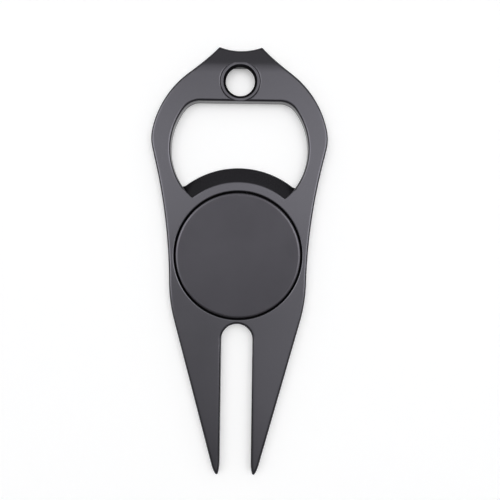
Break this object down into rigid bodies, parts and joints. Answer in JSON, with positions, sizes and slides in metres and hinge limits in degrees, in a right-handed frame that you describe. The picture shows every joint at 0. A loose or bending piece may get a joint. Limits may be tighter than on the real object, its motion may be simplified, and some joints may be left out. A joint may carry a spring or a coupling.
{
  "type": "divot repair tool",
  "caption": "Flat two-pronged divot repair tool with a bottle-opener window, a key-ring hole and a round magnetic ball marker in its face.",
  "frame": {"origin": "on the flat back face, on the axis of the round seat that holds the ball marker", "axes": "+X across the plate, +Y along it from the prongs towards the key-ring hole, +Z out of the front face, where the ball marker sits"},
  "size_m": [0.0356, 0.0863, 0.0031],
  "materials": {
    "body_coating": "satin",
    "marker_coating": "matte",
    "magnet_plating": "polished",
    "cured_adhesive": "gloss"
  },
  "bodies": {
    "tool": {"tool_body": "body_coating", "magnet_adhesive": "cured_adhesive", "magnet": "magnet_plating"},
    "marker": {"ball_marker": "marker_coating"}
  },
  "joints": [
    {"name": "marker_lift", "type": "slide", "parent": "tool", "child": "marker", "axis": [0, 0, 1], "range_m": [0, 0.02]}
  ]
}
